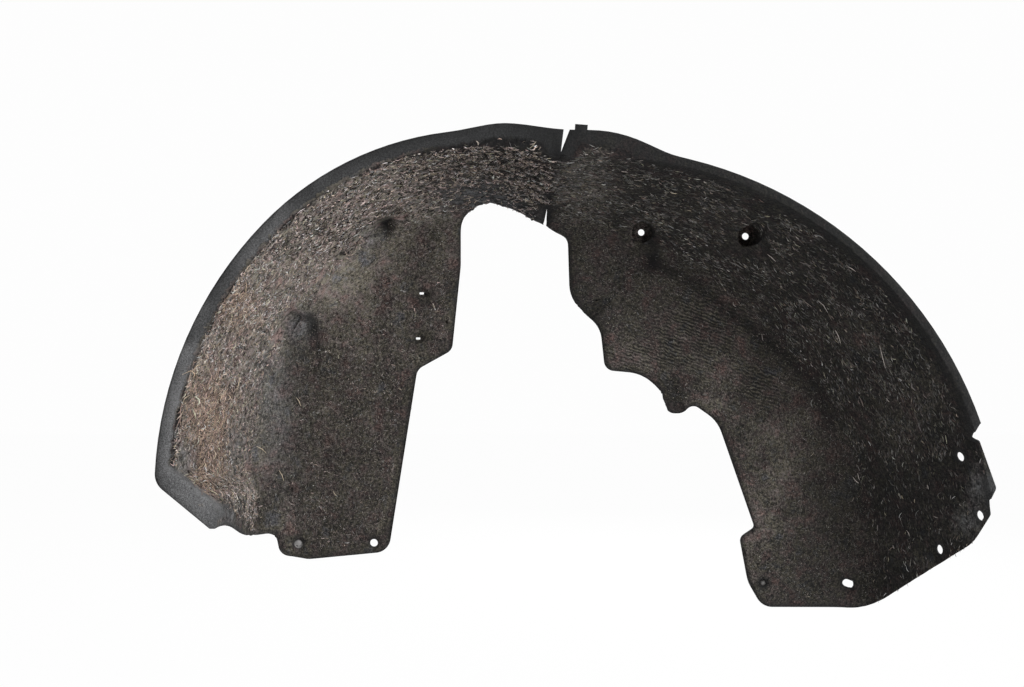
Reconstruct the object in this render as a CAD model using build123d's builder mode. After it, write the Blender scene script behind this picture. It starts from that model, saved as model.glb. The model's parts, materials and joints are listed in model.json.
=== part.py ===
# Rear wheel arch liner: one shell of needled felt, moulded over the wheel space.
# Millimetres. The wheel is on the -Y side, +X runs to the bumper and +Z is up.
# The origin is the middle of the sill hole, on the wheel side of the inner wall.

import os
from math import cos, radians, sin, tan

from build123d import *

os.makedirs("parts", exist_ok=True)

# Felt
FELT = 3.0  # shell
LIP = 2.0  # lip, pressed thinner

# Wheel space, measured from the wheel axis: x to the bumper, then z up
DEPTH = 200.0  # lip to inner wall
CORNER_R = 45.0  # bend from the crown into the inner wall
FLARE = 12.0  # the bend meets the crown at this angle to the wheel axis
CROWN_STATIONS = (1.0, 0.72, 0.45)  # sections of the crown: 1 at the lip, 0 at the inner wall
BEND_STRIPS = 6  # ruled strips that make up the bend
SHOULDER = 136.0  # angle at which the sill arc passes into the crown arc
SILL_R = 373.0  # sill arc at the lip
SILL_TAPER = 42.5  # the sill arc is smaller by this at the inner wall
BUMPER_GAIN = 30.0  # the bumper arc is larger by this
BUMPER_CENTRE = (50.8, -65.7)
FOLD_ANGLE = 94.5  # where the bumper arc meets the fold, at the lip
WALL_BUMPER_GAIN = 37.0  # the bumper arc is larger again by this at the inner wall
WALL_BUMPER_CENTRE = (-58.4, -139.4)
WALL_FOLD_ANGLE = 81.4  # where the bumper arc meets the fold, at the inner wall
FOLD_R = 60.0
SILL_FOOT_ANGLE = 208.0  # the blank runs down to here before it is trimmed
BUMPER_FOOT_ANGLE = -22.0
FOOT_Z = -230.0

# Lip; its wide stretch, the tab and the slits are placed from the fold
SILL_LIP = 15.0
BUMPER_LIP = 8.0
LIP_RISE = (-114.2, 24.9)  # the lip starts to widen here
LIP_RUN_OUT = [(-60.2, 33.7), (0.8, 27.6), (39.8, 26.3), (76.8, 17.2), (104.8, 4.6)]
LIP_RUN_OUT_ANGLE = 76.3  # the wide lip has run out here on the bumper arc
BUMPER_LIP_ANGLE = 4.2
LIP_TAB = (19.7, 25.9)
LIP_TAB_SIZE = (12.6, 13.0)
LIP_TAB_TURN = -4.0
TOP_SLIT = [(-0.4, 4.9), (4.3, 43.9), (14.8, 43.9)]  # relief slit, from the fold at the lip
LOW_SLIT = [(2.6, 9.4), (-5.4, -30.6), (0.4, -30.6)]  # relief slit, from the fold at the inner wall
CREASE_R = 1.9

# Shelf that closes the sill corner, with the lip turned along it; x is from the sill arc
SHELF_HIGH = (-77.0, 83.6)
SHELF_END = (46.0, -12.0)
SHELF_FOOT_X = 51.0
SHELF_R = 28.0
SHELF_LIP_END = (42.0, -37.4)
SILL_LIP_ANGLE = 178.6
SILL_CORNER_R = 20.0
SCALLOP_HIGH = -36.0  # lower edge of the shelf's side, at the lip
SCALLOP_RUN = (-152.0, -44.0)  # it falls between these distances from the wall
SCALLOP_R = 60.0

# Holes and seats
SILL_HOLE = (-191.4, -83.4)
SILL_HOLE_D = 9.0
SILL_DIMPLE_X = -279.4  # blind dimple in line with the sill hole
DIMPLE_D = 9.0
DIMPLE_DEPTH = 1.6
BUMPER_SLOT = (361.0, -130.0)
BUMPER_SLOT_SIZE = (12.0, 8.5)
BUMPER_SLOT_TURN = -20.0
BUMPER_DIMPLE_X = 262.6  # blind dimple in line with the bumper slot
EDGE_HOLE_D = 10.0
EDGE_HOLES = [(-9.4, 79.0), (-3.3, 19.0), (4.4, 29.4)]  # angle, distance behind the lip
SEAT_D = 25.0
SEAT_HOLE_D = 7.6
SEATS = [(67.47, 9.2, 12.0), (57.87, 16.8, 90.0)]  # angle on the bumper arc, out from it, ahead of the wall
DISH_D = 27.0
DISH_DEPTH = 7.0
DISHES = [(121.8, 30.0), (148.2, 24.0)]  # angle, distance ahead of the wall
SLOT_SIZE = (5.2, 2.6)
SLOT_DISH = (15.0, 11.0)
SLOT_DISH_DEPTH = 1.2
SLOTS = [(-135.7, 207.9), (-139.9, 155.2)]

# Scoops pressed back at the strut edge: from the edge, to where they fade out
SCOOPS = [((160.0, 66.0), (151.0, 120.0)), ((50.0, 184.0), (92.0, 208.0))]
SCOOP_R = 16.0
SCOOP_DEPTH = 7.0

# Cut edge from the sill tab, round the strut, to the bumper notch: x, z and corner radius
SILL_TAB = [  # x is from the sill arc
    (28.0, -71.0, 0.0),
    (68.0, -71.0, 8.0),
    (73.5, -96.5, 14.0),
    (105.0, -102.5, 30.0),
]
STRUT_SILL_SIDE = [
    (-174.4, -93.6, 18.0),
    (-140.8, 119.0, 14.0),
    (-100.2, 141.5, 13.0),
]
STRUT_TOP = [  # from the fold at the inner wall
    (-97.4, -55.7, 60.0),
    (-97.4, 27.0, 34.0),
    (-33.0, 8.4, 90.0),
    (27.6, -24.4, 17.0),
]
STRUT_BUMPER_SIDE = [
    (37.2, 201.5, 40.0),
    (73.0, 167.5, 32.0),
    (78.4, 118.2, 12.0),
    (122.2, 114.2, 48.0),
    (143.2, 94.6, 28.0),
    (152.4, 67.2, 12.0),
    (168.0, 67.2, 11.0),
    (181.0, 78.8, 10.0),
    (210.0, 58.6, 42.0),
    (253.0, -65.0, 5.0),
    (235.4, -77.0, 9.0),
    (245.2, -129.0, 40.0),
    (262.0, -158.2, 20.0),
    (384.0, -158.5, 42.0),
]
BUMPER_END = [  # x is from the bumper arc
    (-10.8, -54.4, 48.0),
    (-3.6, -22.0, 9.0),
    (-5.4, -7.5, 3.0),
    (0.6, 4.5, 6.0),
    (-16.4, 52.0, 4.0),
    (-21.4, 55.4, 2.0),
    (-21.4, 59.6, 2.0),
    (-14.6, 71.0, 6.0),
]
CLEAR = 150.0  # cutters run past the felt by this

BUMPER_R = SILL_R + BUMPER_GAIN
WALL_BUMPER_R = BUMPER_R + WALL_BUMPER_GAIN
WALL_SILL_R = SILL_R - SILL_TAPER

wall_plane = Plane(origin=(-SILL_HOLE[0], 0, -SILL_HOLE[1]), x_dir=(1, 0, 0), z_dir=(0, -1, 0))
lip_plane = wall_plane.offset(DEPTH)


def between(wall, lip, station):
    """A value of the wheel space at one station between the inner wall and the lip."""
    return wall + (lip - wall) * station


def bumper_arc_at(station):
    """Centre and radius of the bumper arc at one station."""
    centre = (
        between(WALL_BUMPER_CENTRE[0], BUMPER_CENTRE[0], station),
        between(WALL_BUMPER_CENTRE[1], BUMPER_CENTRE[1], station),
    )
    return centre, between(WALL_BUMPER_R, BUMPER_R, station)


def on_bumper_arc(station, angle, out=0.0):
    """Place on the bumper arc at one station, or some way out from it."""
    centre, radius = bumper_arc_at(station)
    turn = radians(angle)
    return centre[0] + (radius + out) * cos(turn), centre[1] + (radius + out) * sin(turn)


def placed(points, x, z=0.0):
    """Points set down from what they follow; a corner keeps its radius."""
    return [(point[0] + x, point[1] + z, *point[2:]) for point in points]


def section(ahead, grow, inset=0.0):
    """Outline of the wheel space at a distance ahead of the inner wall, with the fold rounded."""
    station = ahead / DEPTH
    sill_r = between(WALL_SILL_R, SILL_R, station) + grow - inset
    bumper_centre, bumper_r = bumper_arc_at(station)
    bumper_r += grow - inset
    fold_angle = between(WALL_FOLD_ANGLE, FOLD_ANGLE, station)
    with BuildSketch(wall_plane.offset(ahead)) as outline:
        with BuildLine():
            sill_arc = CenterArc((0, 0), sill_r, SHOULDER, SILL_FOOT_ANGLE - SHOULDER)
            bumper_arc = CenterArc(
                bumper_centre, bumper_r, BUMPER_FOOT_ANGLE, fold_angle - BUMPER_FOOT_ANGLE
            )
            TangentArc(sill_arc @ 0, bumper_arc @ 1, tangent=-(sill_arc % 0))
            Line(sill_arc @ 1, bumper_arc @ 0)
        make_face()
        fillet(outline.vertices().sort_by_distance(bumper_arc @ 1)[0], FOLD_R - grow)
    return outline.sketch


def bend_section(turn, grow):
    """Outline of the wheel space where the bend has turned this far from the wheel axis."""
    bend_r = CORNER_R + grow
    flare = radians(FLARE)
    turn = radians(turn)
    ahead = bend_r * (1 - sin(turn)) - grow
    inset = bend_r * ((sin(flare) - sin(turn)) * tan(flare) + cos(flare) - cos(turn))
    return section(ahead, grow, inset)


def well(grow):
    """The wheel space as a solid, or its outer skin when grown by the felt."""
    with BuildPart() as body:
        crown = [section(station * DEPTH, grow) for station in CROWN_STATIONS]
        strip = (90 - FLARE) / BEND_STRIPS
        bend = [bend_section(FLARE + step * strip, grow) for step in range(BEND_STRIPS + 1)]
        loft(crown + bend, ruled=True)
        # the shelf and its side shut off the sill corner
        with BuildSketch(lip_plane.offset(CLEAR)):
            with BuildLine():
                FilletPolyline(
                    *placed([SHELF_HIGH, SHELF_END], x=-SILL_R),
                    (SHELF_FOOT_X - SILL_R, 2 * FOOT_Z),
                    (SHELF_HIGH[0] - SILL_R, 2 * FOOT_Z),
                    radius=[0, SHELF_R, 0, 0],
                    close=True,
                )
            make_face()
            if grow:
                offset(amount=-grow)
        extrude(amount=-(DEPTH + 2 * CLEAR), mode=Mode.SUBTRACT)
    return body.part


def on_skin(angle, y, radial=False):
    """Plane on the felt where a ray from the wheel axis meets it, square to the felt or to the ray."""
    ray = Axis((-SILL_HOLE[0], y, -SILL_HOLE[1]), (cos(radians(angle)), 0, sin(radians(angle))))
    point, normal = wheel_space.find_intersection_points(ray)[-1]
    return Plane(origin=point, z_dir=ray.direction if radial else normal)


def scoop_plane(edge, fade):
    """Start plane of a scoop, outside the strut edge, square to its dipping axis."""
    start = wall_plane.from_local_coords(Vector(*edge, SCOOP_R - SCOOP_DEPTH))
    run = wall_plane.from_local_coords(Vector(*fade, SCOOP_R)) - start
    return Plane(origin=start - run / 2, z_dir=run), 1.5 * run.length


fold_top = on_bumper_arc(1, FOLD_ANGLE)
fold_low = on_bumper_arc(0, WALL_FOLD_ANGLE)
seats = [(on_bumper_arc(ahead / DEPTH, angle, out), ahead) for angle, out, ahead in SEATS]
sill_tab = placed(SILL_TAB, x=-SILL_R)
cut_edge = [
    *sill_tab,
    *STRUT_SILL_SIDE,
    *placed(STRUT_TOP, *fold_low),
    *STRUT_BUMPER_SIDE,
    *placed(BUMPER_END, x=BUMPER_CENTRE[0] + BUMPER_R),
]
side_plane = Plane(
    origin=(sill_tab[0][0] - SILL_HOLE[0], 0, -SILL_HOLE[1]), x_dir=(0, 1, 0), z_dir=(1, 0, 0)
)
wheel_space = well(0)
felt_skin = well(FELT)
dish_planes = [on_skin(angle, -ahead, radial=True) for angle, ahead in DISHES]
scoops = [scoop_plane(edge, fade) for edge, fade in SCOOPS]
edge_planes = [on_skin(angle, behind - DEPTH) for angle, behind in EDGE_HOLES]

with BuildPart() as arch_liner:
    add(felt_skin)

    # lip round the wheel space, turned along the shelf at the sill
    with BuildSketch(lip_plane) as lip:
        with BuildLine():
            sill_lip = CenterArc((0, 0), SILL_R + SILL_LIP, SHOULDER, SILL_LIP_ANGLE - SHOULDER)
            lip_rise, *lip_run_out = placed([LIP_RISE, *LIP_RUN_OUT], *fold_top)
            crown_lip = TangentArc(sill_lip @ 0, lip_rise, tangent=-(sill_lip % 0))
            bumper_lip = CenterArc(
                BUMPER_CENTRE,
                BUMPER_R + BUMPER_LIP,
                BUMPER_LIP_ANGLE,
                LIP_RUN_OUT_ANGLE - BUMPER_LIP_ANGLE,
            )
            Spline(
                [crown_lip @ 1, *lip_run_out, bumper_lip @ 1],
                tangents=[crown_lip % 1, -(bumper_lip % 1)],
            )
            Polyline(sill_lip @ 1, *placed([SHELF_LIP_END], x=-SILL_R), bumper_lip @ 0)
        make_face()
        fillet(lip.vertices().sort_by_distance(sill_lip @ 1)[0], SILL_CORNER_R)
        with Locations(*placed([LIP_TAB], *fold_top)):
            Rectangle(*LIP_TAB_SIZE, rotation=LIP_TAB_TURN)
    extrude(amount=-LIP)

    # felt pressed outwards behind the seats, dishes and scoops
    for place, ahead in seats:
        with BuildSketch(wall_plane.offset(ahead - FELT)):
            with Locations(place):
                Circle(SEAT_D / 2 + FELT)
        extrude(amount=DEPTH - ahead)
    for plane in dish_planes:
        with BuildSketch(plane.offset(DISH_DEPTH + FELT)):
            Circle(DISH_D / 2 + FELT)
        extrude(amount=-2 * DISH_DEPTH - FELT)
    for plane, length in scoops:
        with BuildSketch(plane):
            Circle(SCOOP_R + FELT)
        extrude(amount=length)

    add(wheel_space, mode=Mode.SUBTRACT)
    for plane, length in scoops:
        with BuildSketch(plane):
            Circle(SCOOP_R)
        extrude(amount=length, mode=Mode.SUBTRACT)

    # seats face the wheel, dishes follow the bend; each has a hole in its floor
    for place, ahead in seats:
        with BuildSketch(wall_plane.offset(ahead)):
            with Locations(place):
                Circle(SEAT_D / 2)
        extrude(amount=DEPTH, mode=Mode.SUBTRACT)
        with BuildSketch(wall_plane.offset(ahead)):
            with Locations(place):
                Circle(SEAT_HOLE_D / 2)
        extrude(amount=-2 * FELT, mode=Mode.SUBTRACT)
    for plane in dish_planes:
        with BuildSketch(plane.offset(DISH_DEPTH)):
            Circle(DISH_D / 2)
        extrude(amount=-2 * DISH_DEPTH, mode=Mode.SUBTRACT)
        with BuildSketch(plane):
            Circle(SEAT_HOLE_D / 2)
        extrude(amount=DISH_DEPTH + 2 * FELT, mode=Mode.SUBTRACT)

    # crease down the fold, then the relief slits at its ends
    crease_start = lip_plane.from_local_coords(fold_top)
    crease_run = wall_plane.from_local_coords(fold_low) - crease_start
    with BuildSketch(Plane(origin=crease_start, z_dir=crease_run)):
        Circle(CREASE_R)
    extrude(amount=DEPTH - CORNER_R, mode=Mode.SUBTRACT)
    with BuildSketch(lip_plane.offset(CLEAR)):
        with BuildLine():
            Polyline(*placed(TOP_SLIT, *fold_top), close=True)
        make_face()
        with BuildLine():
            Polyline(*placed(LOW_SLIT, *fold_low), close=True)
        make_face()
    extrude(amount=-(DEPTH + 2 * CLEAR), mode=Mode.SUBTRACT)

    # cut edge, seen from the wheel
    with BuildSketch(lip_plane.offset(CLEAR)):
        with BuildLine():
            corners = [(x, z) for x, z, _ in cut_edge]
            far_x = corners[-1][0] + 2 * CLEAR
            FilletPolyline(
                *corners,
                (far_x, corners[-1][1]),
                (far_x, 2 * FOOT_Z),
                (corners[0][0], 2 * FOOT_Z),
                radius=[radius for _, _, radius in cut_edge] + [0, 0, 0],
                close=True,
            )
        make_face()
    extrude(amount=-(DEPTH + 2 * CLEAR), mode=Mode.SUBTRACT)

    # scalloped edge of the shelf's side, seen along the car
    with BuildSketch(side_plane):
        with BuildLine():
            FilletPolyline(
                (-DEPTH - CLEAR, SCALLOP_HIGH),
                (SCALLOP_RUN[0], SCALLOP_HIGH),
                (SCALLOP_RUN[1], sill_tab[0][1]),
                (CLEAR, sill_tab[0][1]),
                (CLEAR, 2 * FOOT_Z),
                (-DEPTH - CLEAR, 2 * FOOT_Z),
                radius=[0, SCALLOP_R, SCALLOP_R, 0, 0, 0],
                close=True,
            )
        make_face()
    extrude(amount=sill_tab[1][0] - sill_tab[0][0], mode=Mode.SUBTRACT)

    # holes, slots and dimples
    with BuildSketch(wall_plane.offset(CORNER_R)):
        with Locations(SILL_HOLE):
            Circle(SILL_HOLE_D / 2)
        with Locations(BUMPER_SLOT):
            SlotOverall(*BUMPER_SLOT_SIZE, rotation=BUMPER_SLOT_TURN)
        with Locations(*SLOTS):
            RectangleRounded(*SLOT_SIZE, SLOT_SIZE[1] / 3)
    extrude(amount=-CORNER_R - 2 * FELT, mode=Mode.SUBTRACT)
    for plane in edge_planes:
        with BuildSketch(plane.offset(-FELT)):
            Circle(EDGE_HOLE_D / 2)
        extrude(amount=3 * FELT, mode=Mode.SUBTRACT)
    with BuildSketch(wall_plane.offset(-DIMPLE_DEPTH)):
        with Locations((SILL_DIMPLE_X, SILL_HOLE[1]), (BUMPER_DIMPLE_X, BUMPER_SLOT[1])):
            Circle(DIMPLE_D / 2)
    extrude(amount=FELT, mode=Mode.SUBTRACT)
    with BuildSketch(wall_plane.offset(-SLOT_DISH_DEPTH)):
        with Locations(*SLOTS):
            Ellipse(SLOT_DISH[0] / 2, SLOT_DISH[1] / 2)
    extrude(amount=FELT, mode=Mode.SUBTRACT)

arch_liner.part.label = "arch_liner"
export_step(arch_liner.part, "parts/arch_liner.step")
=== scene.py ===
"""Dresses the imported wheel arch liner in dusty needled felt, with hay and lint caught in it."""

import json
import math
from typing import NamedTuple

import bmesh
import bpy
import numpy as np
from bpy.props import FloatProperty, FloatVectorProperty, IntProperty, PointerProperty
from bpy.types import Operator, Panel, PropertyGroup
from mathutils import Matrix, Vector, bvhtree, kdtree, noise


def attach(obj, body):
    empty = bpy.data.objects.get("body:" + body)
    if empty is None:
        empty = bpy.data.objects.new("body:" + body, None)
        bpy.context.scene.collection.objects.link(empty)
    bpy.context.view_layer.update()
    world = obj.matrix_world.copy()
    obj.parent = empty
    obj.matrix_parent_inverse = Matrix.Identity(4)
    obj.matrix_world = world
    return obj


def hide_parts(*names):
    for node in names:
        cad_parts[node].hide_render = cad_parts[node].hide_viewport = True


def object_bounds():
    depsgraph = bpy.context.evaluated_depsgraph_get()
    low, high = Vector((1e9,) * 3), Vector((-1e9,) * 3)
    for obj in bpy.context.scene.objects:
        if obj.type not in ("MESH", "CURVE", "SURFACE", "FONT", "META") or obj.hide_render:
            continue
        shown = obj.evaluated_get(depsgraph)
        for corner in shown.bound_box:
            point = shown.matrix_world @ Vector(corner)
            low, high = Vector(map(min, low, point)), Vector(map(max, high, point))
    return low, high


bl_info = {
    "name": "Wheel Arch Liner",
    "version": (1, 0, 0),
    "blender": (4, 5, 0),
    "location": "3D View > Sidebar > Arch Liner",
    "description": "Felt, fibres and hay for a moulded wheel arch liner",
    "category": "Object",
}

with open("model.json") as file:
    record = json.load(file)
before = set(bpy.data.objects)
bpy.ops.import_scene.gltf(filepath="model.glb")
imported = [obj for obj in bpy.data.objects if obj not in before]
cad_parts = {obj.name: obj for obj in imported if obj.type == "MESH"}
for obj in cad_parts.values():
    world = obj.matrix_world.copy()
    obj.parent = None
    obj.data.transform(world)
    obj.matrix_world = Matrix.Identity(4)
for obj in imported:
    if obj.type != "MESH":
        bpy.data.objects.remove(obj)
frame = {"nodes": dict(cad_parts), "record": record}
LINER = frame["nodes"]["arch_liner"]
CAD_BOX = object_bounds()

# The photograph's frame and the camera that matches it
PHOTO_SIZE = (1024, 687)
CAMERA_PLACE = (0.1612, -1.4, 0.23275)
LENS = 42.1875
SENSOR = 36.0
FOLD_TOP = (561.0, 131.0)
FOLD_FOOT = (545.0, 228.0)

# The liner's own layout, in metres
WHEEL_AXIS = (0.1914, 0.0834)
WHEEL_SIDE_POINT = (0.19, -0.35, 0.05)
LIP_Y = -0.2
LIP_BAND = (0.0125, 0.0165)
LIP_DEEP = (0.005, 0.014)
MOUNTS = {mount["name"]: mount["pos_m"] for mount in frame["record"]["mounts"]}
SEATS = [MOUNTS["front_seat_hole"], MOUNTS["rear_seat_hole"]]
DISHES = [(0.016, -0.03, 0.3663), (-0.0921, -0.024, 0.2592)]
SLOTS = [(0.0557, 0.0, 0.2913), (0.0515, 0.0, 0.2386)]
DIMPLES = [(-0.088, 0.0, 0.0), (0.454, 0.0, -0.0466)]
SEAT_REACH = 0.03
SLOT_REACH = 0.011

# Kinds of felt surface
WHEEL_SKIN, LIP_FACE, OUTER_SKIN, CUT_EDGE = 1, 2, 3, 4

# How surfaces are told apart and meshed: lengths in metres, angles in radians
SHARP_ANGLE = math.radians(35)
FLAT_ANGLE = 0.01
CUT_DEPTH = 0.0055
RAY_START = 0.00001
LIP_FACE_DEPTH = 0.0005
LIP_FACE_TURN = -0.9
WALL_DEPTH = 0.002
SPOT_DEPTH = 0.0025
DIMPLE_REACH = 0.008
FINE_RIPPLE = 0.25
ROW_DROP = 0.35
OUTER_COARSE = 2.5
LUMPS_PER_METRE = 55
ROW_WANDER_PER_METRE = (45, 160)
ROW_BREAKS_PER_METRE = 130
SEAT_SMOOTHINGS = 40
DISH_SMOOTHINGS = 45


class Patch(NamedTuple):
    """A soft oval on the felt, placed by its column and row in the photograph."""

    column: float
    row: float
    half_width: float
    half_height: float
    turn: float
    amount: float


class Trail(NamedTuple):
    """A soft line on the felt through columns and rows of the photograph."""

    points: tuple
    half_width: float
    amount: float


class Corner(NamedTuple):
    """A corner of the outline that is rounded: its column and row, its reach and the shift at its tip."""

    column: float
    row: float
    reach: float
    shift: tuple


# Dust that the felt has taken up, on top of an even start for each surface; the starts and some patches also
# carry painted light and shade
# Painted light in part: the outer side is given a lighter grey, as the lamps barely reach it
OUTSIDE_DUST_AND_LIGHT = 0.22
LIP_SMEAR = 0.03
DEEPEST_PAINTED_SHADE = 0.95
# Painted light in part: the sill crown starts far dustier and lighter than the bumper crown, standing in for
# the key lamp lighting the one and leaving the other dark
DUST_AND_LIGHT_START = {"sill_crown": 0.7, "sill_wall": 0.22, "bumper_crown": 0.035, "bumper_wall": 0.14}
FOLD_SHADE = (15, 215)
DUST_AND_LIGHT_PATCHES = [
    Patch(215, 440, 34, 80, 8, 0.12),
    Patch(240, 305, 30, 45, 25, 0.15),
    Patch(310, 235, 80, 45, -35, 0.28),
    Patch(375, 192, 70, 34, -20, 0.48),
    Patch(272, 400, 20, 85, 5, 0.25),
    Patch(335, 290, 45, 60, 20, 0.2),
    # These two take dust away: darker along the lip's top by the fold, and painted shade along the top edge
    # of the strut opening
    Patch(490, 143, 70, 14, 0, -0.5),
    Patch(470, 198, 60, 14, -15, -0.3),
    Patch(588, 188, 26, 34, 0, 0.5),
    # These two lighten the inside of the seats: painted light in their shaded pits
    Patch(638, 229, 9, 9, 0, 0.3),
    Patch(743, 232, 9, 9, 0, 0.35),
    Patch(690, 325, 70, 45, 30, 0.12),
    Patch(628, 353, 28, 20, 0, 0.12),
    Patch(716, 400, 22, 45, -20, 0.22),
    Patch(765, 500, 36, 120, -15, 0.2),
    Patch(893, 425, 34, 34, 0, 0.16),
    Patch(865, 340, 26, 16, -20, 0.16),
    Patch(930, 390, 24, 30, 20, 0.16),
    Patch(700, 215, 90, 40, 15, 0.05),
    Patch(980, 485, 12, 20, 0, 0.22),
    Patch(970, 522, 22, 18, 0, 0.22),
    Patch(925, 565, 60, 10, -30, 0.14),
]
SETTLED_DUST = 0.3
SETTLED_PATCHES = [
    Patch(250, 520, 40, 24, 15, 1.2),
    Patch(285, 500, 22, 45, 0, 0.7),
]
LIP_PATCHES = [
    Patch(168, 400, 60, 150, 10, 0.88),
    Patch(255, 235, 70, 50, -45, 0.55),
    Patch(335, 180, 60, 30, -30, 0.2),
    Patch(190, 505, 50, 30, 35, 0.25),
    Patch(400, 155, 80, 30, 0, 0.12),
    Patch(500, 135, 75, 30, 0, 0.06),
    Patch(985, 500, 30, 60, 0, 0.15),
]
LIP_SCRATCHES = [
    Trail(((168, 470), (190, 484), (222, 510)), 4.0, 0.3),
]
GREY_PATCHES = [
    Patch(273, 400, 20, 75, 5, 0.65),
    Patch(187, 466, 12, 19, -20, 1.0),
    Patch(221, 507, 9, 9, 0, 0.8),
    Patch(235, 443, 12, 26, 0, 1.0),
    Patch(302, 325, 13, 14, 0, 1.0),
    Patch(368, 238, 12, 12, 0, 0.7),
    Patch(460, 196, 50, 14, 10, 0.7),
    Patch(505, 208, 36, 12, -25, 0.9),
    Patch(230, 514, 8, 9, 0, 1.0),
    Patch(182, 452, 5, 8, 0, 0.8),
    Patch(978, 487, 8, 16, 0, 0.9),
    Patch(968, 522, 14, 12, 0, 0.7),
]
BARE_SPOTS = [
    Patch(298.5, 544, 4.2, 4.2, 0, 1.0),
    Patch(763, 583, 4.5, 4.5, 0, 0.42),
]
# Painted shade, mostly in the pits of the seats, dishes and dimples, in valleys and by the fold
PAINTED_SHADE_PATCHES = [
    Patch(647, 240, 10, 11, 0, 0.55),
    Patch(652, 258, 8, 16, -25, 0.7),
    Patch(750, 245, 10, 12, 0, 0.3),
    Patch(286, 243, 4, 7, -15, 0.7),
    Patch(270, 272, 5, 3, 0, 0.6),
    Patch(226, 506, 5, 6, 0, 0.5),
    Patch(386, 224, 9, 16, 5, 0.95),
    Patch(314, 328, 8, 15, 12, 0.95),
    Patch(304, 317, 9, 4, 0, 0.5),
    Patch(318, 348, 6, 9, 0, 0.6),
    Patch(421, 294, 6.5, 4.5, 0, 0.35),
    Patch(418, 339, 6.5, 4.5, 0, 0.35),
    Patch(676, 394, 11, 22, -25, 0.4),
    Patch(598, 306, 8, 12, 0, 0.4),
    Patch(527, 182, 34, 42, 0, 0.22),
    Patch(500, 203, 40, 10, -20, 0.5),
]
# Painted shade along the crease between crown and wall, and along the fold
CREASE_SHADE_TRAILS = [
    Trail(((655, 265), (678, 275), (731, 312), (770, 343), (812, 379), (829, 421)), 8.0, 0.6),
    Trail(((546, 222), (552, 185), (561, 145)), 4.5, 0.75),
]
RIPPLE_PATCHES = [
    Patch(695, 330, 70, 48, 30, 1.0),
    Patch(760, 385, 32, 30, 0, 0.8),
    Patch(628, 356, 26, 11, 0, 0.7),
    Patch(775, 520, 40, 80, -10, 0.35),
]
FOOT_CORNERS = [
    Corner(225.5, 522.5, 11.0, (0.35, 3.0)),
    Corner(248, 537, 12.0, (0.6, -3.2)),
    Corner(275.5, 532.5, 9.0, (-1.6, 2.6)),
]
BARE_BANDS = [
    Trail(((168, 474), (190, 491), (216, 512)), 10.0, 1.0),
]
# Painted shadow along the line where the felt meets the lip, strongest on the sill side
LIP_SHADOW_PATCHES = [
    Patch(173, 430, 16, 42, 0, 1.2),
    Patch(215, 300, 30, 60, 25, 0.4),
    Patch(285, 215, 60, 45, -40, 0.4),
    Patch(400, 160, 90, 25, -8, 0.4),
]
HAY_PATCHES = [
    Patch(208, 415, 24, 45, 8, 1.0),
    Patch(205, 470, 14, 34, -15, 0.9),
    Patch(236, 305, 20, 30, 30, 0.7),
]

# Straws and threads that the photograph shows one by one: columns and rows along each
LAID_STRAWS = [
    ((224, 455), (220, 461), (217, 465)),
    ((217, 465), (222, 470), (227, 476)),
    ((180, 400), (185, 403), (190, 409)),
    ((181, 404), (184, 398), (189, 395)),
    ((192, 371), (197, 365), (203, 364)),
    ((279, 470), (282, 475), (284, 481)),
    ((256, 446), (262, 449), (266, 453)),
    ((296, 397), (299, 401), (301, 406)),
]
LAID_THREADS = [
    ((768, 254), (772, 257), (776, 261)),
    ((848, 266), (852, 268), (856, 271)),
    ((880, 345), (883, 357), (886, 368)),
    ((818, 300), (824, 305), (828, 312)),
    ((836, 330), (839, 336), (841, 343)),
    ((858, 473), (859, 477), (860, 480)),
    ((907, 530), (909, 533), (910, 536)),
]


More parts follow.
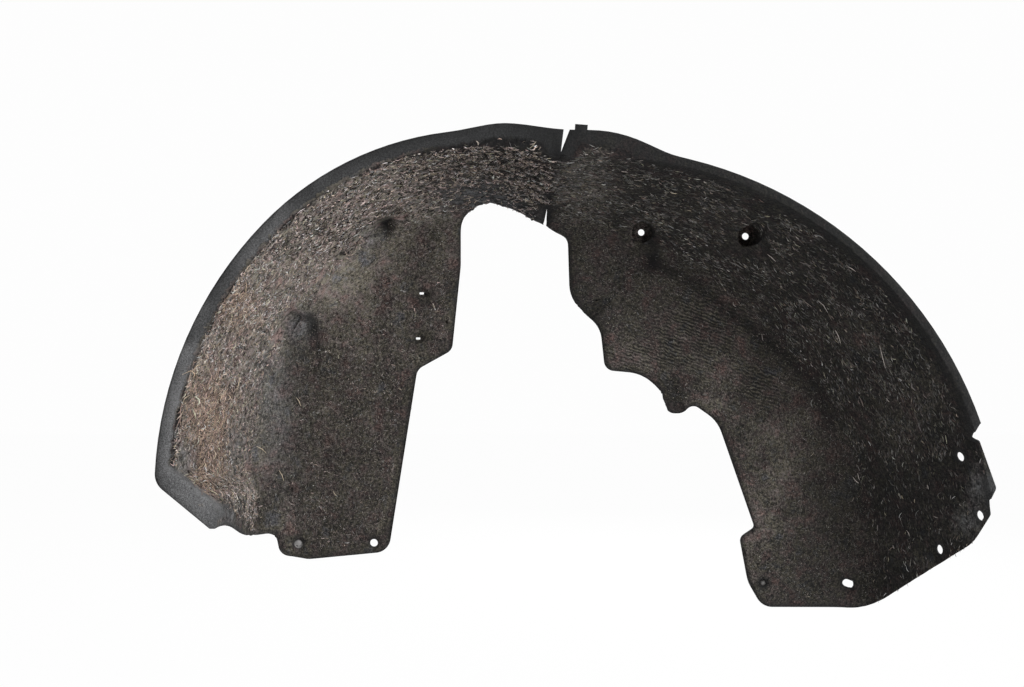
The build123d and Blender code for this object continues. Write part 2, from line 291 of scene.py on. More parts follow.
class FeltSettings(PropertyGroup):
    """Sizes and colours of the felt shell."""

    edge: FloatProperty(
        name="Edge Length",
        description="Longest mesh edge on the felt",
        default=0.0052,
        unit="LENGTH",
    )
    triangles: IntProperty(
        name="Triangles",
        description="Most triangles that the felt shell has",
        default=190000,
    )
    merge: FloatProperty(
        name="Merge Distance",
        description="Vertices of the packed mesh that lie closer than this become one",
        default=0.0005,
        unit="LENGTH",
    )
    lump: FloatProperty(
        name="Lump Height",
        description="How far the lofty felt stands out on the wheel side",
        default=0.0018,
        unit="LENGTH",
    )
    press: FloatProperty(
        name="Rim Press",
        description="How far the felt is pressed in along its cut edges",
        default=0.0009,
        unit="LENGTH",
    )
    rim: FloatProperty(
        name="Rim Width",
        description="Width of the pressed rim along the cut edges",
        default=0.008,
        unit="LENGTH",
    )
    fine_edge: FloatProperty(
        name="Fine Edge Length",
        description="Longest mesh edge round the recesses and on the rippled wall",
        default=0.0018,
        unit="LENGTH",
    )
    ripple: FloatProperty(
        name="Ripple Height",
        description="Height of the needle rows on the bumper wall",
        default=0.00055,
        unit="LENGTH",
    )
    ripple_pitch: FloatProperty(
        name="Ripple Pitch",
        description="Distance between needle rows",
        default=0.0050,
        unit="LENGTH",
    )
    charcoal: FloatVectorProperty(
        name="Charcoal",
        description="Clean felt",
        subtype="COLOR",
        size=3,
        default=(0.0085, 0.0082, 0.0086),
    )
    brown: FloatVectorProperty(
        name="Brown Grey",
        description="Felt with a little dust",
        subtype="COLOR",
        size=3,
        default=(0.046, 0.040, 0.037),
    )
    dusty: FloatVectorProperty(
        name="Dusty",
        description="Felt full of dry dust",
        subtype="COLOR",
        size=3,
        default=(0.262, 0.228, 0.21),
    )
    hay_brown: FloatVectorProperty(
        name="Hay Brown",
        description="Felt below the hay",
        subtype="COLOR",
        size=3,
        default=(0.275, 0.205, 0.172),
    )
    bare_grey: FloatVectorProperty(
        name="Bare Grey",
        description="Felt worn smooth and grey",
        subtype="COLOR",
        size=3,
        default=(0.125, 0.127, 0.132),
    )
    lip_dark: FloatVectorProperty(
        name="Dark Lip",
        description="Pressed lip where it is clean",
        subtype="COLOR",
        size=3,
        default=(0.0035, 0.0039, 0.0041),
    )
    lip_grey: FloatVectorProperty(
        name="Grey Lip",
        description="Pressed lip where it is worn grey",
        subtype="COLOR",
        size=3,
        default=(0.145, 0.145, 0.148),
    )


class FibreSettings(PropertyGroup):
    """Counts and sizes of the loose fibres."""

    radius: FloatProperty(
        name="Radius",
        description="Radius of a felt fibre on the crown",
        default=0.00040,
        precision=5,
        unit="LENGTH",
    )
    sill_crown: IntProperty(
        name="Sill Crown",
        description="Fibres on the sill side's crown",
        default=21000,
    )
    sill_wall: IntProperty(
        name="Sill Wall",
        description="Fibres on the sill side's wall",
        default=14000,
    )
    bumper_crown: IntProperty(
        name="Bumper Crown",
        description="Fibres on the bumper side's crown",
        default=11500,
    )
    bumper_wall: IntProperty(
        name="Bumper Wall",
        description="Fibres on the bumper side's wall",
        default=12000,
    )
    outside: IntProperty(name="Outside", description="Fibres on the outer side", default=4000)
    straws: IntProperty(name="Hay Straws", description="Hay straws caught in the felt", default=3400)
    lint: IntProperty(name="Lint", description="Pale threads lying on the felt", default=260)


class StageSettings(PropertyGroup):
    """Light, floor and camera."""

    key: FloatProperty(name="Key Light", description="Power of the key light", default=62.0, unit="POWER")
    fill: FloatProperty(name="Fill Light", description="Power of the fill light", default=5.0, unit="POWER")
    rear: FloatProperty(name="Rear Light", description="Power of the rear light", default=38.0, unit="POWER")
    ambient: FloatProperty(name="Ambient", description="Strength of the light all round", default=0.35)
    drop: FloatProperty(
        name="Floor Drop",
        description="Distance from the liner down to the floor",
        default=0.25,
        unit="LENGTH",
    )


class LinerSettings(PropertyGroup):
    """All settings of the liner."""

    felt: PointerProperty(type=FeltSettings)
    fibres: PointerProperty(type=FibreSettings)
    stage: PointerProperty(type=StageSettings)


def seen(points):
    """Columns and rows at which the photograph shows points in metres."""
    focal = LENS / SENSOR * PHOTO_SIZE[0]
    ahead = points[:, 1] - CAMERA_PLACE[1]
    columns = PHOTO_SIZE[0] / 2 + focal * (points[:, 0] - CAMERA_PLACE[0]) / ahead
    rows = PHOTO_SIZE[1] / 2 - focal * (points[:, 2] - CAMERA_PLACE[2]) / ahead
    return columns, rows


def sill_side(columns, rows):
    """How far a column and row lies to the sill side of the fold, in pixels."""
    slope = (FOLD_FOOT[0] - FOLD_TOP[0]) / (FOLD_FOOT[1] - FOLD_TOP[1])
    return FOLD_TOP[0] + (rows - FOLD_TOP[1]) * slope - columns


def smooth_step(low, high, values):
    """0 below low, 1 above high, eased between."""
    part = np.clip((values - low) / (high - low), 0, 1)
    return part * part * (3 - 2 * part)


def patches_at(patches, columns, rows):
    """Sum of soft ovals at columns and rows."""
    amounts = np.zeros(len(columns))
    for patch in patches:
        turn = math.radians(patch.turn)
        right = columns - patch.column
        down = rows - patch.row
        along = (right * math.cos(turn) - down * math.sin(turn)) / patch.half_width
        across = (right * math.sin(turn) + down * math.cos(turn)) / patch.half_height
        amounts += patch.amount * np.exp(-(along**2) - across**2)
    return amounts


def trails_at(trails, columns, rows):
    """Strongest of the soft lines at columns and rows."""
    best = np.zeros(len(columns))
    spots = np.column_stack([columns, rows])
    for trail in trails:
        away = np.full(len(columns), 1e9)
        for start, end in zip(trail.points, trail.points[1:]):
            start = np.array(start, float)
            run = np.array(end, float) - start
            share = np.clip((spots - start) @ run / (run @ run), 0, 1)
            away = np.minimum(away, np.linalg.norm(spots - start - share[:, None] * run, axis=1))
        best = np.maximum(best, trail.amount * np.exp(-((away / trail.half_width) ** 2)))
    return best


def finish_piece(piece):
    """Puts a new piece in the scene, on the liner's one body."""
    bpy.context.scene.collection.objects.link(piece)
    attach(piece, "root")
    return piece


def label_surfaces(shell):
    """Marks each face as wheel side, lip, outer side, or cut edge where the felt below it is deep."""
    kind = shell.faces.layers.int.new("kind")
    tree = bvhtree.BVHTree.FromBMesh(shell)
    for face in shell.faces:
        centre = face.calc_center_median()
        depth = tree.ray_cast(centre - face.normal * RAY_START, -face.normal)[3]
        if centre.y < LIP_Y + LIP_FACE_DEPTH and face.normal.y < LIP_FACE_TURN:
            face[kind] = LIP_FACE
        elif depth is None or depth > CUT_DEPTH:
            face[kind] = CUT_EDGE
    eye = Vector(WHEEL_SIDE_POINT)
    for first in shell.faces:
        if first[kind]:
            continue
        region = smooth_region(first, kind)
        facing = sum(face.normal.dot(eye - face.calc_center_median()) * face.calc_area() for face in region)
        for face in region:
            face[kind] = WHEEL_SKIN if facing > 0 else OUTER_SKIN
    return kind


def smooth_region(first, kind):
    """Faces without a mark that join the first one over smooth edges."""
    first[kind] = CUT_EDGE
    region = [first]
    for face in region:
        for edge in face.edges:
            if edge.is_manifold and edge.calc_face_angle() < SHARP_ANGLE:
                for other in edge.link_faces:
                    if not other[kind]:
                        other[kind] = CUT_EDGE
                        region.append(other)
    return region


def split_edges(shell, edges):
    """Halves edges, keeps the mesh in triangles and evens those that lie flat."""
    bmesh.ops.subdivide_edges(shell, edges=edges, cuts=1)
    bmesh.ops.triangulate(shell, faces=[face for face in shell.faces if len(face.verts) > 3])
    flat = [edge for edge in shell.edges if edge.is_manifold and edge.calc_face_angle() < FLAT_ANGLE]
    bmesh.ops.beautify_fill(shell, faces=shell.faces[:], edges=flat, method="ANGLE")


def coarseness(edge, kind):
    """How much longer an edge may be: the plain outer side needs fewer triangles."""
    return OUTER_COARSE if all(face[kind] == OUTER_SKIN for face in edge.link_faces) else 1.0


def refine(shell, longest, kind):
    """Splits long edges until the felt's triangles are small and even, with larger ones outside."""
    step = longest * 32
    while step >= longest:
        for _ in range(3):
            long_edges = [edge for edge in shell.edges if edge.calc_length() > step * coarseness(edge, kind)]
            if not long_edges:
                break
            split_edges(shell, long_edges)
        step /= 2


def refine_finely(shell, longest, wanted):
    """Splits the wanted vertices' edges until they are short."""
    for _ in range(4):
        edges = [edge for edge in shell.edges if edge.calc_length() > longest]
        middles = np.array([(edge.verts[0].co + edge.verts[1].co) / 2 for edge in edges])
        chosen = [edge for edge, near in zip(edges, wanted(middles)) if near]
        if not chosen:
            break
        split_edges(shell, chosen)


def near_any(points, places, reach):
    """True for points within reach of any place."""
    near = np.zeros(len(points), bool)
    for place in places:
        near |= np.linalg.norm(points - np.array(place), axis=1) < reach
    return near


def in_recess(points):
    """True for points in or round a seat, dish or small slot."""
    return near_any(points, SEATS + DISHES, SEAT_REACH) | near_any(points, SLOTS, SLOT_REACH)


def needs_fine_mesh(points):
    """True round the seats and dishes and on the rippled wall."""
    columns, rows = seen(points)
    wall_side = np.abs(points[:, 1]) < WALL_DEPTH
    rippled = (patches_at(RIPPLE_PATCHES, columns, rows) > FINE_RIPPLE) & wall_side
    corners = np.zeros(len(points), bool)
    for corner in FOOT_CORNERS:
        corners |= np.hypot(columns - corner.column, rows - corner.row) < corner.reach
    round_holes = near_any(points, SEATS + DISHES, SEAT_REACH) | near_any(points, DIMPLES, DIMPLE_REACH)
    return round_holes | rippled | corners


def mesh_array(collection, field, width):
    """One field of a mesh collection as an array."""
    values = np.empty(len(collection) * width, np.float32)
    collection.foreach_get(field, values)
    return values.reshape(-1, width).astype(float) if width > 1 else values.astype(float)


def put_attribute(mesh, name, values):
    """Stores one number for each vertex."""
    layer = mesh.attributes.new(name, "FLOAT", "POINT")
    layer.data.foreach_set("value", np.asarray(values, np.float32))


class Skin:
    """The felt's surface as arrays, for placing fibres on it."""

    def __init__(self, mesh):
        mesh.calc_loop_triangles()
        self.points = mesh_array(mesh.vertices, "co", 3)
        corners = np.empty(len(mesh.loop_triangles) * 3, np.int32)
        mesh.loop_triangles.foreach_get("vertices", corners)
        self.corners = corners.reshape(-1, 3)
        faces = np.empty(len(mesh.loop_triangles), np.int32)
        mesh.loop_triangles.foreach_get("polygon_index", faces)
        kinds = np.empty(len(mesh.polygons), np.int32)
        mesh.attributes["kind"].data.foreach_get("value", kinds)
        self.kind = kinds[faces]
        first, second, third = (self.points[self.corners[:, side]] for side in range(3))
        across = np.cross(second - first, third - first)
        self.area = np.linalg.norm(across, axis=1) / 2
        self.normal = across / np.maximum(2 * self.area, 1e-15)[:, None]
        self.middle = (first + second + third) / 3
        self.columns, self.rows = seen(self.middle)
        self.values = {
            layer.name: mesh_array(layer.data, "value", 1)
            for layer in mesh.attributes
            if layer.data_type == "FLOAT" and layer.domain == "POINT"
        }

    def at_faces(self, name):
        """A vertex value, averaged on each triangle."""
        return self.values[name][self.corners].mean(1)

    def scatter(self, weights, count, random):
        """Random places on the skin, more of them where the weights are high."""
        chance = self.area * weights
        faces = random.choice(len(chance), count, p=chance / chance.sum())
        share = random.random((count, 2))
        share[share.sum(1) > 1] = 1 - share[share.sum(1) > 1]
        corners = self.points[self.corners[faces]]
        first = corners[:, 0]
        places = first + (corners[:, 1] - first) * share[:, :1] + (corners[:, 2] - first) * share[:, 1:]
        return faces, places


def shaded_material(name):
    """A new material with a plain Principled shader; gives the material, its node tree and that shader."""
    material = bpy.data.materials.new(name)
    material.use_nodes = True
    tree = material.node_tree
    shader = tree.nodes["Principled BSDF"]
    return material, tree, shader


def add_node(tree, kind, **values):
    """Adds a node and sets its properties."""
    node = tree.nodes.new(kind)
    for field, value in values.items():
        setattr(node, field, value)
    return node


def noise_node(tree, place, scale, detail, roughness):
    """A noise texture on Object coordinates."""
    node = add_node(tree, "ShaderNodeTexNoise")
    node.inputs["Scale"].default_value = scale
    node.inputs["Detail"].default_value = detail
    node.inputs["Roughness"].default_value = roughness
    tree.links.new(place, node.inputs["Vector"])
    return node.outputs["Fac"]


def math_node(tree, operation, first, second, clamp=False):
    """A math node on sockets or plain numbers."""
    node = add_node(tree, "ShaderNodeMath", operation=operation, use_clamp=clamp)
    for socket, value in zip(node.inputs, (first, second)):
        if isinstance(value, (int, float)):
            socket.default_value = value
        else:
            tree.links.new(value, socket)
    return node.outputs[0]


def spread(tree, value, low, high, to_low, to_high):
    """Maps a value from one range to another, clamped."""
    node = add_node(tree, "ShaderNodeMapRange")
    tree.links.new(value, node.inputs["Value"])
    for socket, number in zip(node.inputs[1:5], (low, high, to_low, to_high)):
        socket.default_value = number
    return node.outputs["Result"]


def ramp(tree, value, stops):
    """A colour ramp through (place, colour) stops."""
    node = add_node(tree, "ShaderNodeValToRGB")
    elements = node.color_ramp.elements
    while len(elements) < len(stops):
        elements.new(0.5)
    for element, (place, colour) in zip(elements, stops):
        element.position = place
        element.color = (*colour, 1)
    tree.links.new(value, node.inputs["Fac"])
    return node.outputs["Color"]


def mix_colour(tree, amount, first, second, blend="MIX"):
    """Mixes two colours by an amount."""
    node = add_node(tree, "ShaderNodeMix", data_type="RGBA", blend_type=blend)
    for socket, value in ((node.inputs[0], amount), (node.inputs[6], first), (node.inputs[7], second)):
        if isinstance(value, (int, float)):
            socket.default_value = value
        elif isinstance(value, tuple):
            socket.default_value = (*value, 1)
        else:
            tree.links.new(value, socket)
    return node.outputs[2]


def attribute(tree, name):
    """A vertex value of the piece."""
    return add_node(tree, "ShaderNodeAttribute", attribute_name=name).outputs["Fac"]


def round_wheel(tree, place, along, across):
    """Coordinates round the wheel, out from it and along its axis, for streaks that follow the crown."""
    parts = add_node(tree, "ShaderNodeSeparateXYZ")
    tree.links.new(place, parts.inputs[0])
    x = math_node(tree, "SUBTRACT", parts.outputs["X"], WHEEL_AXIS[0])
    z = math_node(tree, "SUBTRACT", parts.outputs["Z"], WHEEL_AXIS[1])
    turn = math_node(tree, "ARCTAN2", x, z)
    squares = math_node(tree, "ADD", math_node(tree, "MULTIPLY", x, x), math_node(tree, "MULTIPLY", z, z))
    out = math_node(tree, "SQRT", squares, 0.0)
    joined = add_node(tree, "ShaderNodeCombineXYZ")
    tree.links.new(math_node(tree, "MULTIPLY", turn, 0.35 * along), joined.inputs["X"])
    tree.links.new(math_node(tree, "MULTIPLY", out, across), joined.inputs["Y"])
    tree.links.new(math_node(tree, "MULTIPLY", parts.outputs["Y"], across), joined.inputs["Z"])
    return joined.outputs[0], parts.outputs["Y"]


def crevice_lines(tree, place):
    """1 in the narrow gaps between clumps of felt."""
    cells = add_node(tree, "ShaderNodeTexVoronoi", feature="DISTANCE_TO_EDGE")
    cells.inputs["Scale"].default_value = 105.0
    drift = add_node(tree, "ShaderNodeTexNoise")
    drift.inputs["Scale"].default_value = 190.0
    tree.links.new(place, drift.inputs["Vector"])
    moved = add_node(tree, "ShaderNodeVectorMath", operation="MULTIPLY_ADD")
    tree.links.new(drift.outputs["Color"], moved.inputs[0])
    moved.inputs[1].default_value = (0.009, 0.009, 0.009)
    tree.links.new(place, moved.inputs[2])
    tree.links.new(moved.outputs[0], cells.inputs["Vector"])
    return spread(tree, cells.outputs["Distance"], 0.02, 0.17, 1.0, 0.0)


def needle_rows(tree, place, scale, distortion):
    """Wavy rows left by the felting needles, which drop a little towards the bumper."""
    height = add_node(tree, "ShaderNodeVectorMath", operation="DOT_PRODUCT")
    tree.links.new(place, height.inputs[0])
    height.inputs[1].default_value = (ROW_DROP, 0.0, 1.0)
    parts = add_node(tree, "ShaderNodeSeparateXYZ")
    tree.links.new(place, parts.inputs[0])
    tilted = add_node(tree, "ShaderNodeCombineXYZ")
    tree.links.new(parts.outputs["X"], tilted.inputs["X"])
    tree.links.new(parts.outputs["Y"], tilted.inputs["Y"])
    tree.links.new(height.outputs["Value"], tilted.inputs["Z"])
    rows = add_node(tree, "ShaderNodeTexWave", wave_type="BANDS", bands_direction="Z")
    rows.inputs["Scale"].default_value = scale
    rows.inputs["Distortion"].default_value = distortion
    rows.inputs["Detail"].default_value = 2.0
    rows.inputs["Detail Scale"].default_value = 1.4
    tree.links.new(tilted.outputs[0], rows.inputs["Vector"])
    return rows.outputs["Fac"]


def product(tree, *values):
    """Several sockets or numbers multiplied."""
    result = values[0]
    for value in values[1:]:
        result = math_node(tree, "MULTIPLY", result, value)
    return result


def total(tree, *values):
    """Several sockets or numbers added."""
    result = values[0]
    for value in values[1:]:
        result = math_node(tree, "ADD", result, value)
    return result


def felt_material(settings):
    """Needled felt: charcoal fibres with dust, a smooth pressed lip and rims, ripples, and painted shade in
    creases, pits, the gaps between clumps and along the lip.
    """
    material, tree, shader = shaded_material("needled_felt")
    place = add_node(tree, "ShaderNodeTexCoord").outputs["Object"]
    around, deep = round_wheel(tree, place, 240.0, 900.0)
    names = ("dust", "smear", "rim", "painted_shade", "ripple", "hay", "grey", "loft", "inland")
    dust, smear, rim, painted_shade, ripple, hay, grey, loft, inland = (attribute(tree, name) for name in names)
    grain = noise_node(tree, place, 1050.0, 2.0, 0.7)
    speckle = noise_node(tree, place, 480.0, 3.0, 0.65)
    clumps = noise_node(tree, place, 130.0, 4.0, 0.6)
    stains = noise_node(tree, place, 26.0, 3.0, 0.55)
    tints = noise_node(tree, place, 48.0, 4.0, 0.62)
    streaks = noise_node(tree, around, 1.0, 2.0, 0.6)
    pebbles = noise_node(tree, place, 300.0, 2.0, 0.6)
    unrippled = spread(tree, ripple, 0.0, 1.0, 1.0, 0.35)
    crevices = product(tree, crevice_lines(tree, place), spread(tree, clumps, 0.42, 0.58, 1.0, 0.15), loft)

    # Felt: dust in clumps and flecks, tinted here and there, with painted shade in the gaps
    lumpy = math_node(tree, "SUBTRACT", spread(tree, clumps, 0.3, 0.7, 0.3, 1.6), 1.0)
    lumpy = math_node(tree, "ADD", product(tree, lumpy, spread(tree, loft, 0.0, 1.0, 0.3, 1.0)), 1.0)
    clumped = product(tree, dust, lumpy, spread(tree, stains, 0.3, 0.7, 0.6, 1.4))
    broad_rows = needle_rows(tree, place, 78.0, 7.0)
    ripple = product(tree, ripple, spread(tree, tints, 0.4, 0.6, 0.5, 1.0))
    ridges = product(tree, ripple, spread(tree, broad_rows, 0.3, 0.9, -0.05, 0.18))
    clumped = math_node(tree, "ADD", clumped, ridges)
    flecks = total(
        tree,
        spread(tree, speckle, 0.32, 0.7, -0.28, 0.34),
        spread(tree, streaks, 0.32, 0.7, -0.26, 0.34),
        product(tree, spread(tree, pebbles, 0.32, 0.7, -0.25, 0.3), unrippled),
        spread(tree, grain, 0.3, 0.7, -0.2, 0.2),
    )
    flecked = product(tree, flecks, spread(tree, dust, 0.0, 0.7, 0.34, 0.95))
    amount = math_node(tree, "ADD", clumped, flecked, clamp=True)
    colours = [(0.0, tuple(settings.charcoal)), (0.3, tuple(settings.brown)), (1.0, tuple(settings.dusty))]
    felt = ramp(tree, amount, colours)
    pink, plain, olive, blue = (1.2, 0.95, 0.93), (1.0, 1.0, 1.0), (0.98, 1.02, 0.85), (0.86, 0.98, 1.12)
    tint = ramp(tree, tints, [(0.36, pink), (0.47, plain), (0.56, olive), (0.68, blue)])
    felt = mix_colour(tree, 1.0, felt, tint, "MULTIPLY")
    worn = spread(tree, flecks, -0.4, 0.5, 0.3, 1.7)
    bare = mix_colour(tree, 1.0, tuple(settings.bare_grey), worn, "MULTIPLY")
    felt = mix_colour(tree, product(tree, grey, spread(tree, clumps, 0.35, 0.6, 0.25, 1.0)), felt, bare)
    strawy = spread(tree, flecks, -0.4, 0.5, 0.1, 1.9)
    matted = mix_colour(tree, 1.0, tuple(settings.hay_brown), strawy, "MULTIPLY")
    felt = mix_colour(tree, product(tree, hay, spread(tree, clumps, 0.35, 0.6, 0.2, 0.8)), felt, matted)
    # Painted shade in the narrow gaps between clumps
    felt = mix_colour(tree, product(tree, crevices, 0.8), felt, (0.010, 0.0098, 0.0100))

    # Needle rows on the bumper wall, with painted shade in the gaps between rows
    fine_rows = needle_rows(tree, place, 150.0, 3.0)
    row_gap_shade = product(tree, ripple, spread(tree, broad_rows, 0.15, 0.6, 0.8, 0.0))
    flat = math_node(tree, "SUBTRACT", 1.0, loft)
    fine_row_shade = product(tree, flat, spread(tree, fine_rows, 0.1, 0.8, 0.28, 0.0))
    felt = mix_colour(tree, math_node(tree, "MAXIMUM", row_gap_shade, fine_row_shade), felt, (0.007, 0.0068, 0.0068))

    # Pressed lip and rims, with a ragged painted shadow where the felt starts at the lip
    ragged = total(
        tree,
        inland,
        spread(tree, clumps, 0.3, 0.7, -0.0025, 0.0025),
        spread(tree, speckle, 0.3, 0.7, -0.001, 0.001),
    )
    near_lip = spread(tree, deep, LIP_Y + LIP_DEEP[0], LIP_Y + LIP_DEEP[1], 1.0, 0.0)
    band = product(tree, near_lip, spread(tree, ragged, *LIP_BAND, 1.0, 0.0))
    from_lip_shadow = math_node(tree, "ABSOLUTE", math_node(tree, "SUBTRACT", ragged, LIP_BAND[1] + 0.0006), 0.0)
    lip_shadow = product(
        tree,
        near_lip,
        spread(tree, from_lip_shadow, 0.0005, 0.003, 1.0, 0.0),
        total(tree, spread(tree, stains, 0.35, 0.6, 0.3, 0.8), attribute(tree, "lip_shadow")),
    )
    mottle = total(
        tree,
        spread(tree, stains, 0.3, 0.7, 0.75, 1.25),
        spread(tree, speckle, 0.3, 0.7, -0.35, 0.35),
        spread(tree, grain, 0.3, 0.7, -0.4, 0.4),
    )
    smeared = math_node(tree, "MULTIPLY", smear, mottle, clamp=True)
    pressed = ramp(tree, smeared, [(0.0, tuple(settings.lip_dark)), (1.0, tuple(settings.lip_grey))])
    grained = spread(tree, speckle, 0.3, 0.7, 0.8, 1.2)
    grained = math_node(tree, "ADD", grained, spread(tree, grain, 0.3, 0.7, -0.35, 0.35))
    pressed = mix_colour(tree, 1.0, pressed, grained, "MULTIPLY")
    band = product(tree, band, spread(tree, smear, 0.03, 0.09, 0.6, 1.0))
    smooth = math_node(tree, "MAXIMUM", band, spread(tree, rim, 0.3, 0.9, 0.0, 0.85))
    bald = spread(tree, attribute(tree, "bald"), 0.35, 0.6, 0.0, 1.0)
    smooth = math_node(tree, "MAXIMUM", smooth, bald)
    surface = mix_colour(tree, smooth, felt, pressed)
    lip_shadow = product(tree, math_node(tree, "MINIMUM", lip_shadow, 0.95), spread(tree, bald, 0.0, 1.0, 1.0, 0.25))
    surface = mix_colour(tree, lip_shadow, surface, (0.007, 0.007, 0.0075))
    surface = mix_colour(tree, spread(tree, rim, 0.8, 0.98, 0.0, 0.75), surface, (0.010, 0.010, 0.0105))
    spot = spread(tree, attribute(tree, "spot"), 0.3, 0.55, 0.0, 1.0)
    surface = mix_colour(tree, spot, surface, (0.24, 0.236, 0.232))
    # Painted shade: pits, valleys and creases darkened nearly to black
    tree.links.new(mix_colour(tree, painted_shade, surface, (0.005, 0.005, 0.0055)), shader.inputs["Base Color"])
    tree.links.new(spread(tree, smooth, 0.0, 1.0, 0.95, 0.7), shader.inputs["Roughness"])
    shader.inputs["Specular IOR Level"].default_value = 0.12
    shader.inputs["Sheen Weight"].default_value = 0.02
    shader.inputs["Sheen Roughness"].default_value = 0.6

    fuzz = math_node(tree, "SUBTRACT", 1.0, product(tree, smooth, 0.85))
    height = total(
        tree,
        product(tree, speckle, fuzz, 0.7),
        product(tree, pebbles, fuzz, unrippled, 0.9),
        product(tree, grain, smooth, 0.5),
        product(tree, streaks, fuzz, 0.5),
        product(tree, clumps, fuzz, spread(tree, loft, 0.0, 1.0, 0.4, 1.4)),
        product(tree, crevices, fuzz, -0.5),
        product(tree, broad_rows, ripple, 1.4),
    )
    bump = add_node(tree, "ShaderNodeBump")
    bump.inputs["Strength"].default_value = 0.9
    bump.inputs["Distance"].default_value = 0.002
    tree.links.new(height, bump.inputs["Height"])
    tree.links.new(bump.outputs["Normal"], shader.inputs["Normal"])
    return material


def fibre_material(name, roughness, sheen):
    """Loose fibres that carry their own colour."""
    material, tree, shader = shaded_material(name)
    colour = add_node(tree, "ShaderNodeAttribute", attribute_name="fibre_colour").outputs["Color"]
    place = add_node(tree, "ShaderNodeTexCoord").outputs["Object"]
    worn = spread(tree, noise_node(tree, place, 900.0, 2.0, 0.6), 0.3, 0.7, 0.75, 1.25)
    tree.links.new(mix_colour(tree, 1.0, colour, worn, "MULTIPLY"), shader.inputs["Base Color"])
    shader.inputs["Roughness"].default_value = roughness
    shader.inputs["Specular IOR Level"].default_value = 0.15
    shader.inputs["Sheen Weight"].default_value = sheen
    return material


def felt_values(points, normals, wheel_side):
    """Dust with some painted light, smears, painted shade in pits and creases, ripples, hay and bare spots
    of the felt at its vertices.
    """
    columns, rows = seen(points)
    from_fold = sill_side(columns, rows)
    wall = smooth_step(0.15, 0.95, -normals[:, 1]) * (points[:, 1] > 0.75 * LIP_Y)
    sill_crown = smooth_step(*FOLD_SHADE, from_fold)
    sill_wall = smooth_step(-10, 60, from_fold)
    crown_dust = DUST_AND_LIGHT_START["sill_crown"] * sill_crown + DUST_AND_LIGHT_START["bumper_crown"] * (1 - sill_crown)
    wall_dust = DUST_AND_LIGHT_START["sill_wall"] * sill_wall + DUST_AND_LIGHT_START["bumper_wall"] * (1 - sill_wall)
    dust = crown_dust * (1 - wall) + wall_dust * wall + patches_at(DUST_AND_LIGHT_PATCHES, columns, rows)
    settled = np.clip(patches_at(SETTLED_PATCHES, columns, rows), 0, 1)
    dust += (SETTLED_DUST - dust) * settled
    smear = LIP_SMEAR + patches_at(LIP_PATCHES, columns, rows) + trails_at(LIP_SCRATCHES, columns, rows)
    # Painted shade in pits, valleys, creases and by the fold
    painted_shade = patches_at(PAINTED_SHADE_PATCHES, columns, rows) + trails_at(CREASE_SHADE_TRAILS, columns, rows)
    on_wall = np.abs(points[:, 1]) < SPOT_DEPTH
    return {
        "dust": np.where(wheel_side, np.clip(dust, 0, 1), OUTSIDE_DUST_AND_LIGHT),
        "smear": np.clip(smear, 0, 1) * wheel_side,
        "painted_shade": np.where(wheel_side | in_recess(points), np.clip(painted_shade, 0, DEEPEST_PAINTED_SHADE), 0),
        "ripple": np.clip(patches_at(RIPPLE_PATCHES, columns, rows), 0, 1) * wheel_side,
        "hay": np.clip(patches_at(HAY_PATCHES, columns, rows), 0, 1) * wheel_side,
        "grey": np.clip(patches_at(GREY_PATCHES, columns, rows), 0, 1) * wheel_side,
        "spot": np.clip(patches_at(BARE_SPOTS, columns, rows), 0, 1) * on_wall,
        "lip_shadow": np.clip(patches_at(LIP_SHADOW_PATCHES, columns, rows), 0, 1),
        "bald": trails_at(BARE_BANDS, columns, rows) * wheel_side,
        "loft": 1 - wall,
    }


